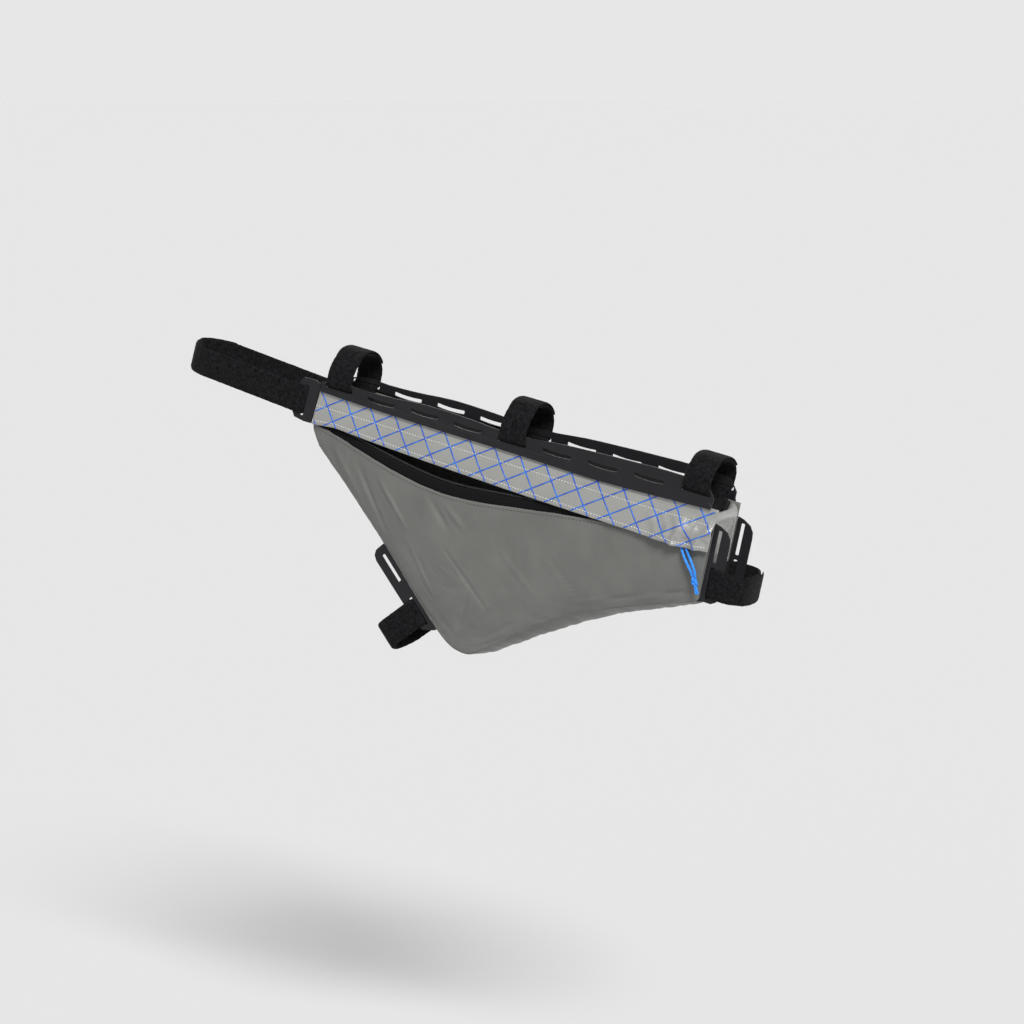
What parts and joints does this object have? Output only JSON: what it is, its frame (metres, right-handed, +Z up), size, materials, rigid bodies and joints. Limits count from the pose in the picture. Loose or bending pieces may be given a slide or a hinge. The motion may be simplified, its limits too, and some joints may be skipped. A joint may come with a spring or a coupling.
{
  "type": "bicycle frame bag",
  "caption": "Triangular cloth bag that hangs in a bicycle frame on hook-and-loop straps, with a long zip along its upper edge.",
  "frame": {"origin": "centre line of the bicycle's top tube, under the middle strap, where the bag hangs", "axes": "+X towards the bicycle's rear, -Y towards the near side with the zip, +Z up; the top tube falls 12.4 degrees towards +X"},
  "size_m": [0.5485, 0.0682, 0.2666],
  "materials": {
    "bag_cloth": "fine ripstop, soft sheen",
    "band_cloth": "silvery coated ripstop with a blue thread grid",
    "smooth_sheet": "smooth matte coated sheet",
    "strap_pile": "hook-and-loop pile",
    "zip_tape": "woven tape",
    "zip_coil": "nylon coil",
    "cord": "braided cord"
  },
  "bodies": {
    "root": {"near_panel": "bag_cloth", "far_panel": "bag_cloth", "near_band": "band_cloth", "top_panel": "smooth_sheet", "front_gusset": "bag_cloth", "down_tube_gusset": "bag_cloth", "bottom_gusset": "bag_cloth", "rear_gusset": "band_cloth", "near_mount_strip": "smooth_sheet", "far_mount_strip": "smooth_sheet", "near_front_flap": "smooth_sheet", "far_front_flap": "smooth_sheet", "near_down_tube_flap": "smooth_sheet", "far_down_tube_flap": "smooth_sheet", "near_rear_flap": "smooth_sheet", "far_rear_flap": "smooth_sheet", "top_strap_front": "strap_pile", "top_strap_middle": "strap_pile", "top_strap_rear": "strap_pile", "head_tube_strap": "strap_pile", "down_tube_strap": "strap_pile", "seat_tube_strap": "strap_pile", "zip_tape_upper": "zip_tape", "zip_tape_lower": "zip_tape", "zip_coil_upper": "zip_coil", "zip_coil_lower": "zip_coil", "zip_slider": "zip_coil", "pull_cord_front_leg": "cord", "pull_cord_rear_leg": "cord", "pull_cord_knot": "cord"}
  },
  "joints": []
}
